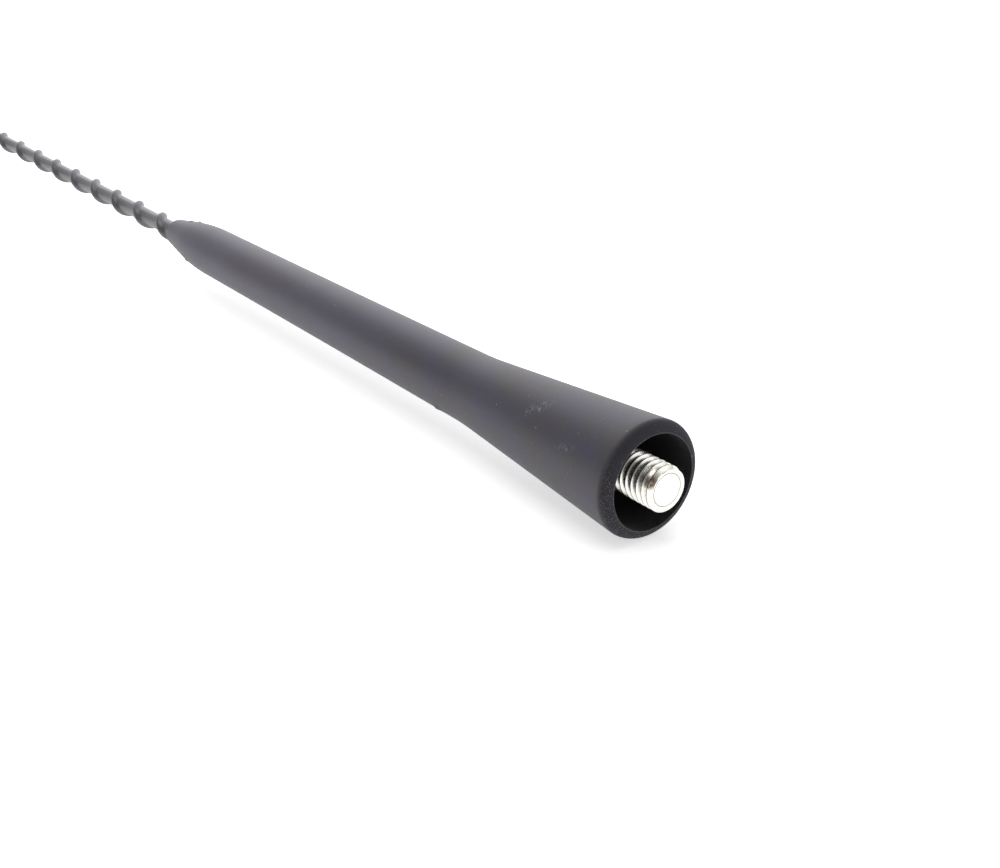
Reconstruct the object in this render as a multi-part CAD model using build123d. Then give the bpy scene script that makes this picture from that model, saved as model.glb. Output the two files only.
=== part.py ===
from build123d import *
import math
import os

# Screw-in roof mast aerial, lying along X, in millimetres.
# A station is a distance from the boot's mouth towards the tip, and a radius is from the mast's axis.
# The origin is the centre of the mouth: the stud points along +X and the mast runs along -X.
mast_length = 203.0           # from the mouth to the rounded tip

# Moulded rubber boot
boot_length = 106.6
bell_radius = 6.65            # flare carried on to the mouth plane
flare_length = 29.5
grip_radius = 4.17            # waist between the flare and the grip
grip_hollow = 0.10            # the grip is drawn in very slightly along its middle
shoulder_station = 97.5       # the grip turns into the nose
shoulder_radius = 3.45
nose_radius = 1.92
nose_chamfer = 0.30
rim_chamfer = 0.80
rim_ease = 0.30               # both edges of the chamfer are broken again, so the rim looks round
waist_blend = 25.0
shoulder_blend = 40.0

# Open bell round the stud
mouth_radius = 5.30
cavity_depth = 10.0

# Turned stud with an M5 thread, and the collar, shank and socket that the boot is moulded on
thread_radius = 2.50
thread_reach = 2.0            # stands out past the mouth
end_face_radius = 2.35
end_chamfer = 0.15
relief_radius = 1.95
relief_width = 1.2
collar_radius = 4.20
collar_width = 2.0
shank_radius = 3.20
shank_end = 25.0
groove_start = 16.0           # ring groove that locks the shank in the rubber
groove_width = 5.0
groove_depth = 0.50
socket_radius = 2.20
socket_end = 37.0
socket_depth = 20.0

# Spring steel rod that carries the signal
rod_radius = 0.60
rod_tip_gap = 3.0             # stops short of the tip

# Jacket over the rod, with a helical rib that grows shallower towards the tip
jacket_radius = 0.85
jacket_start = 96.0           # inside the boot's nose
jacket_tip_gap = 4.0          # stops inside the tip cap
rib_pitch = 8.15
rib_turns = 10.0
rib_height = 0.80             # at the boot
rib_tip_height = 0.45
rib_crest_width = 0.90
rib_foot_width = 2.90
rib_sunk = 0.15               # root of the rib inside the jacket's wall
rib_gap = 0.15                # clear space between the nose and the rib's first edge
rib_start_angle = -172.0

# Moulded cap on the tip
cap_length = 9.0
cap_radius = 1.40
cap_chamfer = 0.25

jacket_end = mast_length - jacket_tip_gap
rod_start = socket_end - socket_depth
rod_end = mast_length - rod_tip_gap


def turned(*corners):
    """Solid of revolution about Z through (radius, station) corners."""
    return revolve(Plane.XZ * make_face(Polyline(*corners, close=True)), Axis.Z)


def shaft(radius, start, end):
    """Plain round bar between two stations."""
    return turned((0, start), (radius, start), (radius, end), (0, end))


def core_rod():
    return shaft(rod_radius, rod_start, rod_end)


def threaded_stud():
    relief_start = cavity_depth - relief_width
    collar_end = cavity_depth + collar_width
    groove_radius = shank_radius - groove_depth
    stud = turned(
        (0, -thread_reach),
        (end_face_radius, -thread_reach),
        (thread_radius, end_chamfer - thread_reach),
        (thread_radius, relief_start),
        (relief_radius, relief_start + thread_radius - relief_radius),
        (relief_radius, cavity_depth),
        (collar_radius, cavity_depth),
        (collar_radius, collar_end),
        (shank_radius, collar_end),
        (shank_radius, groove_start),
        (groove_radius, groove_start),
        (groove_radius, groove_start + groove_width),
        (shank_radius, groove_start + groove_width),
        (shank_radius, shank_end),
        (socket_radius, shank_end),
        (socket_radius, socket_end),
        (0, socket_end),
    )
    return stud - core_rod()


def helical_rib():
    """Right-handed rib of trapezium section, which sinks into the jacket as it climbs."""
    rib_start = boot_length + rib_gap + rib_foot_width / 2
    rib_run = rib_pitch * rib_turns
    sink = math.atan((rib_tip_height - rib_height) / rib_run)
    path = Pos(0, 0, rib_start) * Helix(rib_pitch, rib_run, jacket_radius, cone_angle=math.degrees(sink))
    flank = (rib_foot_width - rib_crest_width) / 2 / rib_height
    root = rib_foot_width / 2 + rib_sunk * flank
    section = Polyline(
        (jacket_radius - rib_sunk, rib_start - root),
        (jacket_radius + rib_height, rib_start - rib_crest_width / 2),
        (jacket_radius + rib_height, rib_start + rib_crest_width / 2),
        (jacket_radius - rib_sunk, rib_start + root),
        close=True,
    )
    rib = sweep(Plane.XZ * make_face(section), path=path, is_frenet=True)
    return Rot(0, 0, rib_start_angle) * rib


def ribbed_jacket():
    jacket = shaft(jacket_radius, jacket_start, jacket_end) + helical_rib()
    return jacket - core_rod()


def tip_cap():
    lip = mast_length - cap_length
    dome_centre = mast_length - cap_radius
    sleeve = turned(
        (0, lip),
        (cap_radius - cap_chamfer, lip),
        (cap_radius, lip + cap_chamfer),
        (cap_radius, dome_centre),
        (0, dome_centre),
    )
    cap = sleeve + Pos(0, 0, dome_centre) * Sphere(cap_radius)
    return cap - shaft(jacket_radius, lip, jacket_end) - core_rod()


def boot_outline():
    """Half section of the boot, blended at the waist and the shoulder, and eased at the rim."""
    mouth = (bell_radius, 0)
    waist = (grip_radius, flare_length)
    shoulder = (shoulder_radius, shoulder_station)
    flare = Polyline((0, 0), mouth, waist)
    grip = SagittaArc(waist, shoulder, grip_hollow)
    nose = Polyline(
        shoulder,
        (nose_radius, boot_length - nose_chamfer),
        (nose_radius - nose_chamfer, boot_length),
        (0, boot_length),
        (0, 0),
    )
    outline = make_face([flare, grip, nose])
    outline = fillet(outline.vertices().sort_by_distance(waist)[0], waist_blend)
    outline = fillet(outline.vertices().sort_by_distance(shoulder)[0], shoulder_blend)
    outline = chamfer(outline.vertices().sort_by_distance(mouth)[0], rim_chamfer)
    return chamfer(outline.vertices().sort_by_distance(mouth)[:2], rim_ease)


def rubber_boot():
    boot = revolve(Plane.XZ * boot_outline(), Axis.Z)
    boot -= shaft(mouth_radius, 0, cavity_depth)
    # the rubber fills every step of the stud and closes on the rod and the jacket's foot
    return boot - threaded_stud() - core_rod() - shaft(jacket_radius, jacket_start, boot_length)


pieces = {
    "rubber_boot": rubber_boot(),
    "threaded_stud": threaded_stud(),
    "core_rod": core_rod(),
    "ribbed_jacket": ribbed_jacket(),
    "tip_cap": tip_cap(),
}

# stations run along Z while the pieces are made, and along -X once they are laid down
laid_down = Rot(0, -90, 0)
os.makedirs("parts", exist_ok=True)
for name, piece in pieces.items():
    export_step(laid_down * piece, f"parts/{name}.step")
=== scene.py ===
import math

import bpy
from mathutils import Matrix, Vector


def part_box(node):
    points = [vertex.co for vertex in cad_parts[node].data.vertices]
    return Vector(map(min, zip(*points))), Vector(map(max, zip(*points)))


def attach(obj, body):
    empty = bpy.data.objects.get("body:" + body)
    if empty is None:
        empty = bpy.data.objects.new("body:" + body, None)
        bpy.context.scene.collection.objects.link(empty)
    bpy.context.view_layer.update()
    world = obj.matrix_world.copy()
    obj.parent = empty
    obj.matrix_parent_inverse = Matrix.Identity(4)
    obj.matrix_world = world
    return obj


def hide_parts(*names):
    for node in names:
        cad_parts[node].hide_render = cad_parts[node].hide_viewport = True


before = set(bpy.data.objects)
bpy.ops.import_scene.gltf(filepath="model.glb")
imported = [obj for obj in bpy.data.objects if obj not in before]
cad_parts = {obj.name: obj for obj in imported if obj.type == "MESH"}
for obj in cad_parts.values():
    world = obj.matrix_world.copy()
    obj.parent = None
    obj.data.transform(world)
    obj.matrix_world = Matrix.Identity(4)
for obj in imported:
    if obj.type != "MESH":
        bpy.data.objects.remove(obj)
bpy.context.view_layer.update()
mm = 0.001
seamGap = 1e-6         # metres, closer points become one
cutGap = 1e-7          # metres, for points that already lie on a cut
nearRing = 0.03        # millimetres, for finding a ring by its place
nearCut = 1e-3
nearAxis = 1e-4
endless = 1e6          # a stretch that takes one axis out of a pattern
softTurn = (0.3, 0.7)  # where a noise turns from one colour to the other
white = (1, 1, 1, 1)
print("frame loaded with", len(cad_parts), "nodes")


# A station runs from the boot's mouth towards the tip, which is along -X, in millimetres.
# An angle round the axis counts from the top towards +Y, and outlines are drawn on top.
def at(station, radius, angle=0):
    turned = math.radians(angle)
    return Vector((-station * mm, radius * mm * math.sin(turned), radius * mm * math.cos(turned)))


def stationOf(point):
    return -point.x / mm


def radiusOf(point):
    return math.hypot(point.y, point.z) / mm


# leaves the piece in edit mode
def drawOutline(name, points):
    bpy.ops.object.select_all(action="DESELECT")
    bpy.ops.mesh.primitive_plane_add(size=mm, location=points[0])
    piece = bpy.context.object
    piece.name = piece.data.name = name
    bpy.ops.object.transform_apply(location=True, rotation=True, scale=True)
    bpy.ops.object.mode_set(mode="EDIT")
    bpy.ops.mesh.select_mode(type="VERT")
    bpy.ops.mesh.select_all(action="SELECT")
    bpy.ops.mesh.merge(type="CENTER")  # the plane shrinks to the first point
    for here, there in zip(points, points[1:]):
        bpy.ops.mesh.extrude_vertices_move(TRANSFORM_OT_translate={"value": there - here})
    return piece


def closeSeams():
    bpy.ops.mesh.select_all(action="SELECT")
    bpy.ops.mesh.remove_doubles(threshold=seamGap)
    bpy.ops.mesh.normals_make_consistent(inside=False)


def spinRound(steps):
    bpy.ops.mesh.select_all(action="SELECT")
    bpy.ops.mesh.spin(steps=steps, angle=math.tau, center=(0, 0, 0), axis=(1, 0, 0))
    closeSeams()


# winds an outline along the axis, from object mode
def windAlong(piece, pitch, turns, steps):
    winding = piece.modifiers.new("winding", "SCREW")
    winding.axis = "X"
    winding.screw_offset = pitch * mm
    winding.iterations = turns
    winding.steps = winding.render_steps = steps
    bpy.ops.object.modifier_apply(modifier=winding.name)


def selectEdges(piece, wanted):
    bpy.ops.mesh.select_mode(type="EDGE")
    bpy.ops.mesh.select_all(action="DESELECT")
    bpy.ops.object.mode_set(mode="OBJECT")
    places = [vertex.co for vertex in piece.data.vertices]
    for edge in piece.data.edges:
        edge.select = wanted(*[places[index] for index in edge.vertices])
    bpy.ops.object.mode_set(mode="EDIT")


# bevel of one ring edge, found by its place; a blend is its width and its steps
def roundRing(piece, station, radius, blend, profile=0.5):
    width, steps = blend

    def onRing(first, second):
        return all(
            abs(stationOf(point) - station) < nearRing and abs(radiusOf(point) - radius) < nearRing
            for point in (first, second)
        )

    selectEdges(piece, onRing)
    bpy.ops.mesh.bevel(offset=width * mm, segments=steps, profile=profile, affect="EDGES")


# more rings along one long outside run
def cutRun(piece, start, end, innerRadius, cuts):
    shortest = 2  # millimetres, so that the rings of a blend stay as they are

    def alongRun(first, second):
        middle = (first + second) / 2
        outside = min(radiusOf(first), radiusOf(second)) > innerRadius
        lengthwise = abs(stationOf(first) - stationOf(second)) > shortest
        return outside and lengthwise and start < stationOf(middle) < end

    selectEdges(piece, alongRun)
    bpy.ops.mesh.subdivide(number_cuts=cuts)


# one vertex of the skin pulled out from the axis, with its neighbours following
def pullVertex(piece, innerRadius, station, angle, height, reach):
    bpy.ops.mesh.select_mode(type="VERT")
    bpy.ops.mesh.select_all(action="DESELECT")
    bpy.ops.object.mode_set(mode="OBJECT")
    turned = math.radians(angle)
    outwards = Vector((0, math.sin(turned), math.cos(turned)))

    def offTarget(vertex):
        along = abs(stationOf(vertex.co) - station)
        across = Vector((0, vertex.co.y, vertex.co.z)).normalized() - outwards
        return along + across.length * radiusOf(vertex.co)

    skin = [vertex for vertex in piece.data.vertices if radiusOf(vertex.co) >= innerRadius]
    min(skin, key=offTarget).select = True
    bpy.ops.object.mode_set(mode="EDIT")
    bpy.ops.transform.translate(
        value=outwards * height * mm,
        use_proportional_edit=True,
        proportional_edit_falloff="SMOOTH",
        proportional_size=reach * mm,
    )


def fitPiece(piece, node, finish, sharpAngle):
    bpy.ops.object.mode_set(mode="OBJECT")
    bpy.ops.object.shade_smooth_by_angle(angle=math.radians(sharpAngle))
    piece.data.materials.clear()
    piece.data.materials.append(finish)
    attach(piece, "root")
    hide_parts(node)
    print(piece.name, "made with", len(piece.data.polygons), "faces")


# A socket of a finish's node tree. Sums and products of wires add Math nodes.
class Wire:
    def __init__(self, tree, socket=None):
        self.tree = tree
        self.socket = socket

    def node(self, kind, settings=None, inputs=None, out=0):
        made = self.tree.nodes.new(kind)
        for key, value in (settings or {}).items():
            setattr(made, key, value)
        for key, value in (inputs or {}).items():
            if isinstance(value, Wire):
                self.tree.links.new(value.socket, made.inputs[key])
            else:
                made.inputs[key].default_value = value
        return Wire(self.tree, made.outputs[out])

    def maths(self, operation, *values):
        return self.node("ShaderNodeMath", {"operation": operation}, dict(enumerate(values)))

    def __add__(self, other):
        return self.maths("ADD", self, other)

    def __sub__(self, other):
        return self.maths("SUBTRACT", self, other)

    def __rsub__(self, other):
        return self.maths("SUBTRACT", other, self)

    def __mul__(self, other):
        return self.maths("MULTIPLY", self, other)

    def __abs__(self):
        return self.maths("ABSOLUTE", self)

    __radd__ = __add__
    __rmul__ = __mul__

    # 0 at the first value and 1 at the second, eased
    def ramp(self, low, high):
        eased = {"interpolation_type": "SMOOTHSTEP"}
        return self.node("ShaderNodeMapRange", eased, {"Value": self, "From Min": low, "From Max": high})

    def blendColours(self, first, second):
        sockets = {"Factor": self, 6: first, 7: second}
        return self.node("ShaderNodeMix", {"data_type": "RGBA"}, sockets, out=2)

    def noise(self, size, detail):
        sockets = {"Vector": self, "Scale": 1 / (size * mm), "Detail": detail}
        return self.node("ShaderNodeTexNoise", inputs=sockets)

    def cells(self, size, out):
        sockets = {"Vector": self, "Scale": 1 / (size * mm)}
        return self.node("ShaderNodeTexVoronoi", inputs=sockets, out=out)

    # the wire's vector moved to a place, turned and stretched, for a pattern of its own
    def mapped(self, place=(0, 0, 0), turn=(0, 0, 0), stretch=(1, 1, 1)):
        settings = {"vector_type": "TEXTURE"}
        sockets = {"Vector": self, "Location": place, "Rotation": turn, "Scale": stretch}
        return self.node("ShaderNodeMapping", settings, sockets)

    def part(self, axis):
        return self.node("ShaderNodeSeparateXYZ", inputs={0: self}, out=axis)

    def length(self):
        return self.node("ShaderNodeVectorMath", {"operation": "LENGTH"}, {0: self}, out="Value")

    # distance from the mast's axis in millimetres
    def fromAxis(self):
        return self.mapped(stretch=(endless, mm, mm)).length()


def newFinish(name, fixed):
    finish = bpy.data.materials.new(name)
    finish.use_nodes = True
    tree = finish.node_tree
    shader = tree.nodes["Principled BSDF"]
    for socket, value in fixed.items():
        shader.inputs[socket].default_value = value
    coords = Wire(tree).node("ShaderNodeTexCoord", out="Object")

    def feed(socket, wire):
        tree.links.new(wire.socket, shader.inputs[socket])

    return finish, coords, feed


def feedBump(feed, height, strength, depth):
    sockets = {"Height": height, "Strength": strength, "Distance": depth * mm}
    feed("Normal", height.node("ShaderNodeBump", inputs=sockets))


# wires added up by the shares that a look gives them
def mixShares(wires, shares):
    return sum(wires[name] * share for name, share in shares.items())


# Boot: one turned outline with its seat for the stud, then blends, more rings and the mould's flash
boot = {
    "steps": 96,
    "length": 106.6,
    "bellRadius": 6.645,
    "mouthRadius": 5.30,
    "cavityDepth": 10.0,
    "waist": (29.5, 4.19),         # station and radius
    "shoulder": (97.5, 3.45),
    "noseRadius": 1.92,
    "gripHollow": 0.05,
    "gripParts": 8,
    "rimBlend": (1.25, 14),        # width and steps, as in each blend
    "rimProfile": 0.44,            # 0.25 is a plain chamfer and 0.5 a quarter circle
    "mouthBlend": (0.05, 3),
    "noseBlend": (0.65, 10),
    "waistBlend": (1.6, 8),
    "shoulderBlend": (3.2, 12),
    "flareCuts": 24,
    "gripCuts": 7,
    "noseCuts": 24,
    "skinSlack": 0.1,              # a run counts as skin down to this far under its thin end
    "flash": [                     # station, angle, height and reach of each bump
        (101.7, 2, 0.20, 0.55),
        (100.2, 16, 0.18, 0.45),
        (98.8, -122, 0.16, 0.45),
        (33.6, -127, 0.22, 0.9),
    ],
    "sharpAngle": 40,
}
# a run is two stations, and a turn two levels of a noise, where a mask is 0 and where it is 1
rubber = {
    "fixed": {"IOR": 1.5, "Specular IOR Level": 1.0, "Specular Tint": (0.95, 0.92, 1.0, 1)},
    "dark": (0.029, 0.0255, 0.021, 1),   # brownish between violet patches
    "light": (0.029, 0.028, 0.060, 1),
    "mottleSize": 5.0,
    "grainSize": 0.16,
    "paintedLightBloom": (0.130, 0.124, 0.156, 1),   # pale film, and painted light that grows towards the nose
    "paintedLightBloomRun": (5.0, 110.0),
    "paintedLightBloomShare": 0.75,
    "paintedLightBloomMottle": (0.8, 0.4),           # least share, and what the mottle adds to it
    # painted shade: the bell's rim is painted darker than the body
    "rim": (0.010, 0.009, 0.013, 1),
    "rimRun": (1.5, 0.5),
    "inside": (0.004, 0.004, 0.005, 1),  # painted shade: the bell's hollow is painted black, and is dull inside
    "insideWall": (0.10, 0.02),          # beyond the mouth's radius
    "insideFloor": (0.6, 0.2),           # beyond the cavity's depth
    "insideEdge": (0.03, 0.12),
    "dust": (0.24, 0.24, 0.25, 1),       # colour of every pale mark
    "lint": (1.3, 0.27, 0.11),           # size of a cell, share of cells with a spot, a spot's reach
    "specks": (0.42, 0.16, 0.22),
    "spotHeart": 0.4,                    # part of a spot's reach that is fully pale
    "specksRun": (40.0, 4.0),            # most of the specks lie on the bell
    "specksLeast": 0.25,
    "scuffs": [                          # station, angle, slant, half length, half width, strength
        (14.5, -40, 42, 2.9, 1.0, 1.3),
        (7.6, -64, 18, 2.2, 0.8, 0.8),
    ],
    "scuffDepth": 1.5,
    "scuffHeart": 0.2,
    "streakStretch": (0.6, 2.6, 0.6),
    "streakSize": 0.19,
    "streakTurn": (0.54, 0.66),
    "paleInnerEdge": (0.06, 0.14),            # the mouth's inner edge is pale from here to here
    "paleInnerEdgeDepth": (0.15, 0.05),
    "rimGrainSize": 0.15,
    "rimGrainTurn": (0.55, 0.70),
    "rimGrainRun": (1.6, 0.3),
    "rimGrainSide": (1.0, -6.0),         # sum of y and z, so that the lower left of the rim is grainy
    "paleness": {"lint": 0.7, "scuff": 1.0, "specks": 0.42, "paleInnerEdge": 0.5, "rimGrain": 0.7},
    "smoothest": 0.48,
    "roughness": {"grain": 0.12, "pale": 0.2, "inside": 0.3, "rim": 0.38},
    "relief": {"grain": 0.7, "mottle": 0.3, "lint": 0.8},
    "bump": (0.45, 0.05),                # strength and depth
}


def bellRadiusAt(station):
    waistStation, waistRadius = boot["waist"]
    return boot["bellRadius"] + (waistRadius - boot["bellRadius"]) * station / waistStation


# rubbed patches on the flare, broken up into short streaks
def scuffMarks(coords):
    marks = []
    for station, angle, slant, halfLength, halfWidth, strength in rubber["scuffs"]:
        place = at(station, bellRadiusAt(station), angle)
        aside = Matrix.Rotation(math.radians(slant), 3, "Z")
        turn = (Matrix.Rotation(math.radians(-angle), 3, "X") @ aside).to_euler()
        spread = Vector((halfLength, halfWidth, rubber["scuffDepth"])) * mm
        patch = coords.mapped(place, turn, spread).length().ramp(1, rubber["scuffHeart"])
        lengthened = coords.mapped(place, turn, rubber["streakStretch"])
        streaks = lengthened.noise(rubber["streakSize"], 3).ramp(*rubber["streakTurn"])
        marks.append(patch * streaks * strength)
    return sum(marks)


# a small spot in some of the cells of a pattern
def spots(coords, size, share, reach):
    spot = coords.cells(size, "Distance").ramp(reach, reach * rubber["spotHeart"])
    return spot * coords.cells(size, "Color").part(0).ramp(1 - share, 1 - share / 2)


def makeRubber():
    finish, coords, feed = newFinish("bootRubber", rubber["fixed"])
    station = coords.part(0) * (-1 / mm)
    beyondMouth = coords.fromAxis() - boot["mouthRadius"]
    mottle = coords.noise(rubber["mottleSize"], 5)
    wires = {"mottle": mottle, "grain": coords.noise(rubber["grainSize"], 3)}
    # pale marks
    wires["lint"] = spots(coords, *rubber["lint"])
    least = rubber["specksLeast"]
    onBell = least + station.ramp(*rubber["specksRun"]) * (1 - least)
    wires["specks"] = spots(coords, *rubber["specks"]) * onBell
    wires["scuff"] = scuffMarks(coords)
    edgeStart, edgeEnd = rubber["paleInnerEdge"]
    paleEdge = beyondMouth.ramp(0, edgeStart) * beyondMouth.ramp(edgeEnd, edgeStart)
    wires["paleInnerEdge"] = paleEdge * station.ramp(*rubber["paleInnerEdgeDepth"])
    grainy = coords.noise(rubber["rimGrainSize"], 2).ramp(*rubber["rimGrainTurn"])
    side = (coords.part(1) + coords.part(2)).ramp(*[reach * mm for reach in rubber["rimGrainSide"]])
    wires["rimGrain"] = station.ramp(*rubber["rimGrainRun"]) * grainy * side
    wires["pale"] = pale = mixShares(wires, rubber["paleness"])
    # parts of the boot painted darker as shade: the rim, and the bell's hollow
    wires["rim"] = rim = station.ramp(*rubber["rimRun"])
    # painted shade in the bell's hollow, up to the cavity's floor
    floor = [boot["cavityDepth"] + depth for depth in rubber["insideFloor"]]
    hollow = beyondMouth.ramp(*rubber["insideWall"]) * station.ramp(*floor)
    wires["inside"] = inside = hollow * station.ramp(*rubber["insideEdge"])
    # colours from the body out to the marks
    # painted light and a pale film: the rubber is painted paler towards the nose
    paintedLightBloomLeast, paintedLightBloomMore = rubber["paintedLightBloomMottle"]
    paintedLightBloom = station.ramp(*rubber["paintedLightBloomRun"]) * (paintedLightBloomLeast + mottle * paintedLightBloomMore) * rubber["paintedLightBloomShare"]
    shade = mottle.ramp(*softTurn).blendColours(rubber["dark"], rubber["light"])
    shade = paintedLightBloom.blendColours(shade, rubber["paintedLightBloom"])
    # painted shade on the rim
    shade = rim.blendColours(shade, rubber["rim"])
    shade = pale.blendColours(shade, rubber["dust"])
    # painted shade: black over the bell's hollow
    feed("Base Color", inside.blendColours(shade, rubber["inside"]))
    feed("Roughness", rubber["smoothest"] + mixShares(wires, rubber["roughness"]))
    feedBump(feed, mixShares(wires, rubber["relief"]), *rubber["bump"])
    return finish


def makeBoot():
    mouth = at(0, boot["mouthRadius"])
    waist, shoulder = at(*boot["waist"]), at(*boot["shoulder"])
    # the grip is drawn in very slightly between the waist and the shoulder
    grip = []
    for index in range(1, boot["gripParts"]):
        share = index / boot["gripParts"]
        hollow = boot["gripHollow"] * 4 * share * (1 - share)
        grip.append(waist.lerp(shoulder, share) - at(0, hollow))
    nose = at(boot["length"], boot["noseRadius"])
    outside = [mouth, at(0, boot["bellRadius"]), waist] + grip + [shoulder, nose]
    # the nose closes on the jacket's foot, and behind it on the rod
    bore = [
        at(boot["length"], jacket["radius"]),
        at(jacket["start"], jacket["radius"]),
        at(jacket["start"], rod["radius"]),
        at(stud["socket"][0], rod["radius"]),
    ]
    cavity = [at(boot["cavityDepth"], boot["mouthRadius"]), mouth]
    piece = drawOutline("bootShell", outside + bore + seatOutline()[::-1] + cavity)
    spinRound(boot["steps"])
    roundRing(piece, 0, boot["bellRadius"], boot["rimBlend"], boot["rimProfile"])
    roundRing(piece, 0, boot["mouthRadius"], boot["mouthBlend"])
    roundRing(piece, boot["length"], boot["noseRadius"], boot["noseBlend"])
    roundRing(piece, *boot["waist"], boot["waistBlend"])
    roundRing(piece, *boot["shoulder"], boot["shoulderBlend"])
    runs = [
        (boot["flareCuts"], *boot["waist"]),
        (boot["gripCuts"], *boot["shoulder"]),
        (boot["noseCuts"], boot["length"], boot["noseRadius"]),
    ]
    start = 0
    for cuts, end, thinEnd in runs:
        cutRun(piece, start, end, thinEnd - boot["skinSlack"], cuts)
        start = end
    for bump in boot["flash"]:
        pullVertex(piece, boot["noseRadius"], *bump)
    fitPiece(piece, "rubber_boot", makeRubber(), boot["sharpAngle"])


# Stud: turned blank, then a V groove wound along it cuts the thread
stud = {
    "steps": 96,
    "reach": 2.0,
    "threadRadius": 2.50,
    "endFaceRadius": 2.35,
    "endChamfer": 0.15,
    "endBlend": (0.06, 3),
    "reliefRadius": 1.95,
    "reliefStart": 8.8,
    "collar": (10.0, 12.0, 4.20),  # start, end, radius
    "groove": (16.0, 21.0, 2.70),
    "shank": (25.0, 3.20),         # end, radius
    "socket": (37.0, 2.20),
    "pitch": 0.8,
    "rootRadius": 2.01,
    "rootWidth": 0.14,
    "flankAngle": 30,
    "threadSteps": 70,
    "threadTurn": 1.3,             # keeps the cutter's facets clear of the blank's
    "threadShift": 0.25,
    "cutterSlack": 0.05,
    "sharpAngle": 28,
}
nickel = {
    "bright": (0.93, 0.915, 0.86, 1),
    "warm": (0.30, 0.17, 0.11, 1),
    "warmPlace": (1.64, -1.94, 1.25),  # a brownish patch next to the end
    "warmSpread": (0.42, 0.95, 1.00),
    "warmHeart": 0.4,                  # part of its spread that is fully brown
    "warmGrain": 0.35,
    "warmTurn": (0.15, 0.55),
    "endRing": (1.80, 0.07),           # radius and half width of a fine ring on the end face, painted dark as shade in its groove
    "endRingDepth": (0.05, 0.02),
    "endRingPaintedShade": (0.06, 0.06, 0.055, 1),
    "rootGrime": (0.30, 0.27, 0.24, 1),
    "grimeFrom": (2.42, 2.08),         # radii from a crest to a root
    "grimeUntil": (1.6, 1.9),          # and none nearer the axis, as on the end face
    "grimeSize": 0.5,
    "grimeTurn": (0.35, 0.7),
    "grimeShare": 0.3,
    "speckleSize": 0.12,
    "toolMarkPitch": 0.09,             # faint rings left by the cutting tool
    "smoothest": 0.18,
    "roughness": {"speckle": 0.14, "grime": 0.15},
    "relief": {"toolMarks": 0.6, "speckle": 0.4, "endRing": -3},
    "bump": (0.18, 0.01),
}


# the buried part of the stud, which is also the hollow of the boot, from the collar to the socket's end
def seatOutline():
    collarStart, collarEnd, collarRadius = stud["collar"]
    grooveStart, grooveEnd, grooveRadius = stud["groove"]
    shankEnd, shankRadius = stud["shank"]
    socketEnd, socketRadius = stud["socket"]
    return [
        at(collarStart, collarRadius),
        at(collarEnd, collarRadius),
        at(collarEnd, shankRadius),
        at(grooveStart, shankRadius),
        at(grooveStart, grooveRadius),
        at(grooveEnd, grooveRadius),
        at(grooveEnd, shankRadius),
        at(shankEnd, shankRadius),
        at(shankEnd, socketRadius),
        at(socketEnd, socketRadius),
    ]


def makeNickel():
    finish, coords, feed = newFinish("studNickel", {"Metallic": 1.0})
    radius = coords.fromAxis()
    wires = {"speckle": coords.noise(nickel["speckleSize"], 3)}
    place = Vector(nickel["warmPlace"]) * mm
    spread = Vector(nickel["warmSpread"]) * mm
    patch = coords.mapped(place, stretch=spread).length().ramp(1, nickel["warmHeart"])
    stain = patch * coords.noise(nickel["warmGrain"], 3).ramp(*nickel["warmTurn"])
    ringRadius, ringHalf = nickel["endRing"]
    onEnd = coords.part(0).ramp(*[(stud["reach"] - depth) * mm for depth in nickel["endRingDepth"]])
    wires["endRing"] = ring = abs(radius - ringRadius).ramp(ringHalf, 0) * onEnd
    roots = radius.ramp(*nickel["grimeFrom"]) * radius.ramp(*nickel["grimeUntil"])
    cloud = coords.noise(nickel["grimeSize"], 3).ramp(*nickel["grimeTurn"])
    wires["grime"] = grime = roots * cloud * nickel["grimeShare"]
    markPitch = nickel["toolMarkPitch"]
    wires["toolMarks"] = radius.maths("PINGPONG", radius, markPitch) * (1 / markPitch)
    shade = stain.blendColours(nickel["bright"], nickel["warm"])
    # painted shade in the fine ring's groove
    shade = ring.blendColours(shade, nickel["endRingPaintedShade"])
    feed("Base Color", grime.blendColours(shade, nickel["rootGrime"]))
    feed("Roughness", nickel["smoothest"] + mixShares(wires, nickel["roughness"]))
    feedBump(feed, mixShares(wires, nickel["relief"]), *nickel["bump"])
    return finish


def makeThreadCutter():
    pitch = stud["pitch"]
    start = stud["collar"][0] - pitch / 2 - stud["threadShift"]
    outerRadius = stud["threadRadius"] + stud["cutterSlack"]
    slope = math.tan(math.radians(stud["flankAngle"]))
    halfRoot = stud["rootWidth"] / 2
    halfTop = halfRoot + (outerRadius - stud["rootRadius"]) * slope
    corners = [
        at(start + halfTop, outerRadius),
        at(start + halfRoot, stud["rootRadius"]),
        at(start - halfRoot, stud["rootRadius"]),
        at(start - halfTop, outerRadius),
        at(start + halfTop, outerRadius),
    ]
    cutter = drawOutline("threadCutter", corners)
    closeSeams()
    turn = math.radians(stud["threadTurn"])
    bpy.ops.transform.rotate(value=turn, orient_axis="X", center_override=(0, 0, 0))
    bpy.ops.object.mode_set(mode="OBJECT")
    turns = math.ceil((start + stud["reach"]) / pitch) + 1
    windAlong(cutter, pitch, turns, stud["threadSteps"])
    bpy.ops.object.mode_set(mode="EDIT")
    bpy.ops.mesh.select_all(action="SELECT")
    bpy.ops.mesh.fill_holes(sides=0)
    closeSeams()
    bpy.ops.mesh.quads_convert_to_tris()  # the wound faces are twisted, and only flat ones cut cleanly
    bpy.ops.object.mode_set(mode="OBJECT")
    return cutter


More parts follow.
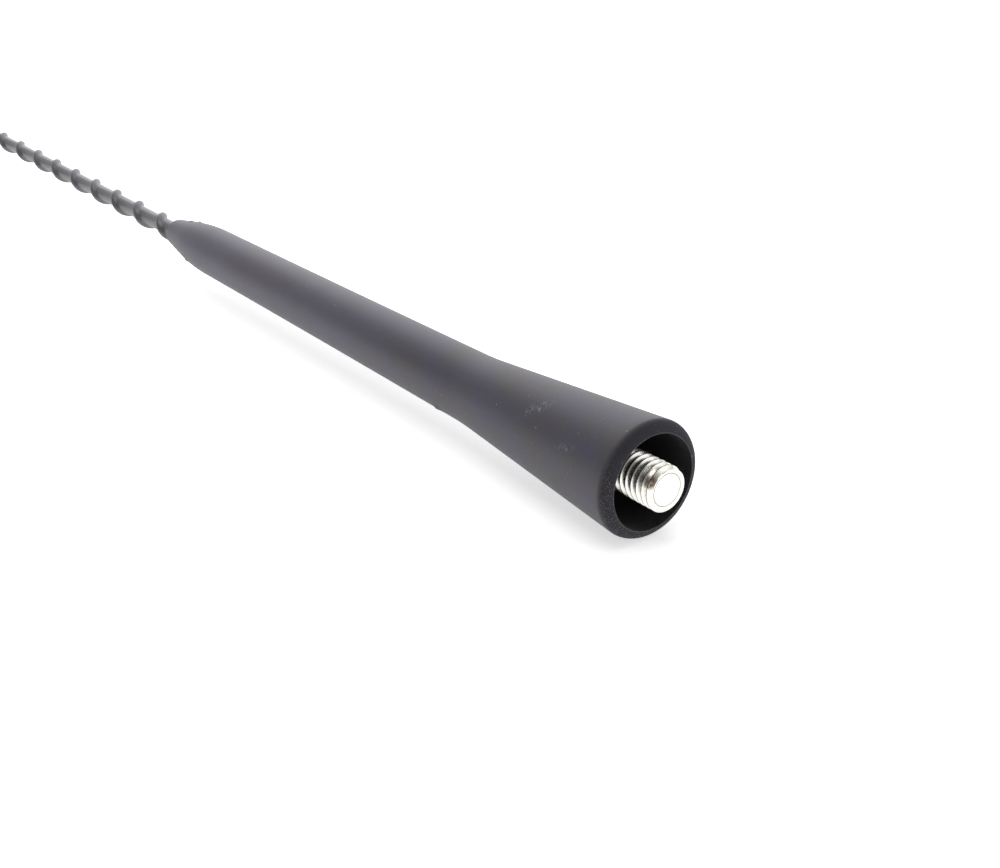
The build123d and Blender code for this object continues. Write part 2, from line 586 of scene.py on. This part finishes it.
def makeStud():
    threadRadius, reliefRadius = stud["threadRadius"], stud["reliefRadius"]
    exposed = [
        at(-stud["reach"], 0),
        at(-stud["reach"], stud["endFaceRadius"]),
        at(stud["endChamfer"] - stud["reach"], threadRadius),
        at(stud["reliefStart"], threadRadius),
        at(stud["reliefStart"] + threadRadius - reliefRadius, reliefRadius),
        at(stud["collar"][0], reliefRadius),
    ]
    bore = [at(stud["socket"][0], rod["radius"]), at(rod["start"], rod["radius"]), at(rod["start"], 0)]
    blank = drawOutline("threadedStud", exposed + seatOutline() + bore)
    spinRound(stud["steps"])
    roundRing(blank, -stud["reach"], stud["endFaceRadius"], stud["endBlend"])
    bpy.ops.object.mode_set(mode="OBJECT")
    cutter = makeThreadCutter()
    bpy.ops.object.select_all(action="DESELECT")
    blank.select_set(True)
    bpy.context.view_layer.objects.active = blank
    cut = blank.modifiers.new("thread", "BOOLEAN")
    cut.object = cutter
    cut.operation = "DIFFERENCE"
    cut.solver = "EXACT"
    bpy.ops.object.modifier_apply(modifier=cut.name)
    bpy.data.objects.remove(cutter)
    bpy.ops.object.mode_set(mode="EDIT")
    closeSeams()
    fitPiece(blank, "threaded_stud", makeNickel(), stud["sharpAngle"])


# Plastic of the jacket and the cap, with long faint streaks from moulding
plastic = {
    "fixed": {"IOR": 1.5, "Specular IOR Level": 0.90, "Specular Tint": (0.96, 0.94, 1.0, 1)},
    "streakStretch": (12, 1, 1),
    "streakSize": 0.35,
    "cloudSize": 6.0,
    "tint": {"cloud": 0.6, "streaks": 0.4},
    "roughness": {"grain": 0.10, "streaks": 0.06},
    "relief": {"grain": 0.5, "streaks": 0.5},
    "bump": (0.2, 0.03),
}


def makePlastic(name, look):
    finish, coords, feed = newFinish(name, plastic["fixed"])
    wires = {
        "grain": coords.noise(look["grainSize"], 3),
        "streaks": coords.mapped(stretch=plastic["streakStretch"]).noise(plastic["streakSize"], 3),
        "cloud": coords.noise(plastic["cloudSize"], 4),
    }
    tint = mixShares(wires, plastic["tint"]).ramp(*softTurn)
    feed("Base Color", tint.blendColours(look["dark"], look["light"]))
    feed("Roughness", look["smoothest"] + mixShares(wires, plastic["roughness"]))
    feedBump(feed, mixShares(wires, plastic["relief"]), *plastic["bump"])
    return finish


# Jacket: one pitch of the rib's outline wound along the whip, with the rib faded in and out
jacket = {
    "radius": 1.15,              # at the nose
    "tipRadius": 0.92,
    "start": 96.0,
    "end": 199.0,
    "pitch": 8.15,
    "ribFoot": 2.90,
    "ribHeight": 0.62,
    "ribTipHeight": 0.48,
    "ribRoundness": 0.85,
    "topCrest": 111.75,          # station of the first crest on top
    "ribRunIn": 0.9,             # from the boot's nose
    "ribRunOut": (189.4, 191.6),
    "steps": 48,
    "ribPoints": 22,
    "sharpAngle": 50,
    "look": {
        "dark": (0.090, 0.089, 0.096, 1),
        "light": (0.145, 0.141, 0.158, 1),
        "grainSize": 0.12,
        "smoothest": 0.28,
    },
}


def shareBetween(station, start, end):
    return min(max((station - start) / (end - start), 0), 1)


def eased(share):
    return share * share * (3 - 2 * share)


# radius of the core, which tapers from the nose to the tip cap
def coreRadiusAt(station):
    share = shareBetween(station, boot["length"], cap["lip"])
    return jacket["radius"] + (jacket["tipRadius"] - jacket["radius"]) * share


# height of the rib against its height at the nose
def ribShare(station):
    growFull = boot["length"] + jacket["ribRunIn"]
    fadeStart, fadeEnd = jacket["ribRunOut"]
    rise = shareBetween(station, boot["length"], growFull)
    fall = shareBetween(station, fadeEnd, fadeStart)
    along = shareBetween(station, growFull, fadeStart)
    height = 1 + (jacket["ribTipHeight"] / jacket["ribHeight"] - 1) * along
    return height * eased(rise) * eased(fall)


# one end cut square, with its edge drawn in to the hole for the rod
def cutSquare(piece, station, side, outerRadius):
    bpy.ops.mesh.select_all(action="SELECT")
    bpy.ops.mesh.bisect(
        plane_co=at(station, 0),
        plane_no=(side, 0, 0),
        clear_outer=True,
        threshold=cutGap,
    )
    selectEdges(piece, lambda *ends: all(abs(stationOf(point) - station) < nearCut for point in ends))
    narrower = rod["radius"] / outerRadius
    bpy.ops.mesh.extrude_edges_move()
    bpy.ops.transform.resize(value=(1, narrower, narrower), center_override=(0, 0, 0))


def makeJacket():
    pitch, radius = jacket["pitch"], jacket["radius"]
    spareTurns = 2  # the cuts take them off again
    turns = math.ceil((jacket["end"] - jacket["start"]) / pitch) + spareTurns
    crest = jacket["topCrest"] + pitch * (turns - spareTurns - 1)
    points = [at(crest + pitch / 2, radius)]
    for index in range(jacket["ribPoints"] + 1):
        across = 1 - 2 * index / jacket["ribPoints"]
        rise = (0.5 + 0.5 * math.cos(math.pi * across)) ** jacket["ribRoundness"]
        points.append(at(crest + across * jacket["ribFoot"] / 2, radius + jacket["ribHeight"] * rise))
    points.append(at(crest - pitch / 2, radius))
    piece = drawOutline("ribbedJacket", points)
    bpy.ops.object.mode_set(mode="OBJECT")
    windAlong(piece, pitch, turns, jacket["steps"])
    for vertex in piece.data.vertices:
        station = stationOf(vertex.co)
        wanted = coreRadiusAt(station) + (radiusOf(vertex.co) - radius) * ribShare(station)
        vertex.co.yz *= wanted / radiusOf(vertex.co)
    # the turns are joined, both ends are cut, and the hole goes through from one to the other
    bpy.ops.object.mode_set(mode="EDIT")
    closeSeams()
    cutSquare(piece, jacket["start"], 1, radius)
    cutSquare(piece, jacket["end"], -1, jacket["tipRadius"])
    bpy.ops.mesh.select_all(action="DESELECT")
    bpy.ops.mesh.select_non_manifold()
    bpy.ops.mesh.bridge_edge_loops()
    closeSeams()
    finish = makePlastic("jacketPlastic", jacket["look"])
    fitPiece(piece, "ribbed_jacket", finish, jacket["sharpAngle"])


# Cap: a thin sleeve with a round end
cap = {
    "steps": 64,
    "lip": 194.0,
    "tip": 203.0,
    "radius": 1.40,
    "lipBlend": (0.25, 4),
    "domePoints": 14,
    "sharpAngle": 40,
    "look": {
        "dark": (0.075, 0.074, 0.079, 1),
        "light": (0.110, 0.108, 0.117, 1),
        "grainSize": 0.10,
        "smoothest": 0.30,
    },
}


def makeCap():
    radius, tip = cap["radius"], cap["tip"]
    points = [at(cap["lip"], jacket["tipRadius"]), at(cap["lip"], radius)]
    for index in range(cap["domePoints"] + 1):
        angle = math.pi / 2 * index / cap["domePoints"]
        points.append(at(tip - radius + radius * math.sin(angle), radius * math.cos(angle)))
    points += [
        at(rod["end"], 0),
        at(rod["end"], rod["radius"]),
        at(jacket["end"], rod["radius"]),
        at(jacket["end"], jacket["tipRadius"]),
        points[0],
    ]
    piece = drawOutline("tipCap", points)
    # the edge on the axis, between the dome and the rod's hole, isn't part of the outline
    selectEdges(piece, lambda first, second: max(radiusOf(first), radiusOf(second)) < nearAxis)
    bpy.ops.mesh.delete(type="EDGE")
    spinRound(cap["steps"])
    roundRing(piece, cap["lip"], radius, cap["lipBlend"])
    finish = makePlastic("capPlastic", cap["look"])
    fitPiece(piece, "tip_cap", finish, cap["sharpAngle"])


# Rod: the frame's own piece, with lines along it from drawing
rod = {
    "radius": 0.60,
    "start": 17.0,
    "end": 200.0,
    "pale": (0.58, 0.58, 0.59, 1),
    "dull": (0.42, 0.42, 0.43, 1),
    "lineStretch": (40, 1, 1),
    "lineSize": 0.15,
    "smoothest": 0.28,
    "lineRoughness": 0.15,
    "bump": (0.15, 0.01),
}


def finishRod():
    finish, coords, feed = newFinish("rodSteel", {"Metallic": 1.0})
    lines = coords.mapped(stretch=rod["lineStretch"]).noise(rod["lineSize"], 4)
    feed("Base Color", lines.ramp(*softTurn).blendColours(rod["dull"], rod["pale"]))
    feed("Roughness", rod["smoothest"] + lines * rod["lineRoughness"])
    feedBump(feed, lines, *rod["bump"])
    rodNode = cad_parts["core_rod"]
    rodNode.data.materials.clear()
    rodNode.data.materials.append(finish)
    print("rod finished")


makeBoot()
makeStud()
makeJacket()
makeCap()
finishRod()


# Set: the mast lies level on a pale floor that touches the edge of its bell
studio = {
    "floorSize": 24.0,          # metres
    "floorColour": (0.92, 0.92, 0.92, 1),
    "floorGlow": 0.58,          # plain white that the camera sees as well, so that the shadow is faint
    "skyFront": 0.25,           # the room is darker on the camera's side
    "skyBack": 0.90,
    "skyTurn": (0.05, 0.70),    # where it turns from one to the other
    "backdropWay": (-0.797, 0.604, 0),
    "gap": 0.02,                # millimetres under the bell
}
camera = {
    "azimuth": 52.85,
    "elevation": 24.70,
    "lens": 55.8,
    "sensor": 36.0,
    "place": (102.70, -97.35, 70.14),  # millimetres
    "clip": (0.005, 20),
}
# places and sizes in metres, power in watts
lamps = {
    "backPanel": {"place": (-0.48, 0.30, 0.28), "aim": (-0.05, 0, 0), "size": 0.6, "power": 1.2},
    "overhead": {"place": (-0.05, -0.12, 0.70), "aim": (-0.05, 0, 0), "size": 0.5, "power": 1.7},
    "rightSide": {"place": (0.38, 0.36, 0.20), "aim": (0, 0, 0), "size": 0.42, "power": 0.5},
}


# 1 where the floor is seen, straight, in a shiny piece or through a clear one
def seenWhite(wire):
    rays = ("Is Camera Ray", "Is Glossy Ray", "Is Transmission Ray")
    straight, mirrored, through = [wire.node("ShaderNodeLightPath", out=ray) for ray in rays]
    return wire.maths("MAXIMUM", wire.maths("MAXIMUM", straight, mirrored), through)


def makeFloor():
    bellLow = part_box("rubber_boot")[0]
    bpy.ops.object.select_all(action="DESELECT")
    touch = (0, 0, bellLow.z - studio["gap"] * mm)
    bpy.ops.mesh.primitive_plane_add(size=studio["floorSize"], location=touch)
    floor = bpy.context.object
    floor.name = "floor"
    finish = bpy.data.materials.new("floorWhite")
    finish.use_nodes = True
    tree = finish.node_tree
    tree.nodes.clear()
    start = Wire(tree)
    matte = start.node("ShaderNodeBsdfDiffuse", inputs={"Color": studio["floorColour"]})
    glow = start.node("ShaderNodeEmission", inputs={"Color": white, "Strength": studio["floorGlow"]})
    seen = start.node("ShaderNodeAddShader", inputs={0: matte, 1: glow})
    shown = start.node("ShaderNodeMixShader", inputs={0: seenWhite(start), 1: matte, 2: seen})
    tree.links.new(shown.socket, tree.nodes.new("ShaderNodeOutputMaterial").inputs["Surface"])
    floor.data.materials.append(finish)


def makeSky():
    world = bpy.data.worlds.new("paleRoom")
    bpy.context.scene.world = world
    world.use_nodes = True
    tree = world.node_tree
    tree.nodes.clear()
    way = Wire(tree).node("ShaderNodeTexCoord", out="Generated")
    sockets = {0: way, 1: studio["backdropWay"]}
    facing = way.node("ShaderNodeVectorMath", {"operation": "DOT_PRODUCT"}, sockets, out="Value")
    brighter = facing.ramp(*studio["skyTurn"]) * (studio["skyBack"] - studio["skyFront"])
    level = studio["skyFront"] + brighter
    shown = way.node("ShaderNodeBackground", inputs={"Color": white, "Strength": level})
    tree.links.new(shown.socket, tree.nodes.new("ShaderNodeOutputWorld").inputs["Surface"])


def makeLamp(name, settings):
    bpy.ops.object.light_add(type="AREA", location=settings["place"])
    lamp = bpy.context.object
    lamp.name = name
    lamp.data.size = settings["size"]
    lamp.data.energy = settings["power"]
    towards = Vector(settings["aim"]) - Vector(settings["place"])
    lamp.rotation_euler = towards.to_track_quat("-Z", "Y").to_euler()


def makeCamera():
    turn = (math.radians(90 - camera["elevation"]), 0, math.radians(camera["azimuth"]))
    bpy.ops.object.camera_add(location=Vector(camera["place"]) * mm, rotation=turn)
    viewer = bpy.context.object
    viewer.data.lens = camera["lens"]
    viewer.data.sensor_width = camera["sensor"]
    viewer.data.clip_start, viewer.data.clip_end = camera["clip"]
    bpy.context.scene.camera = viewer


makeFloor()
makeSky()
for lampName, lampSettings in lamps.items():
    makeLamp(lampName, lampSettings)
makeCamera()
bpy.context.scene.view_settings.view_transform = "Standard"
print("set and camera ready")
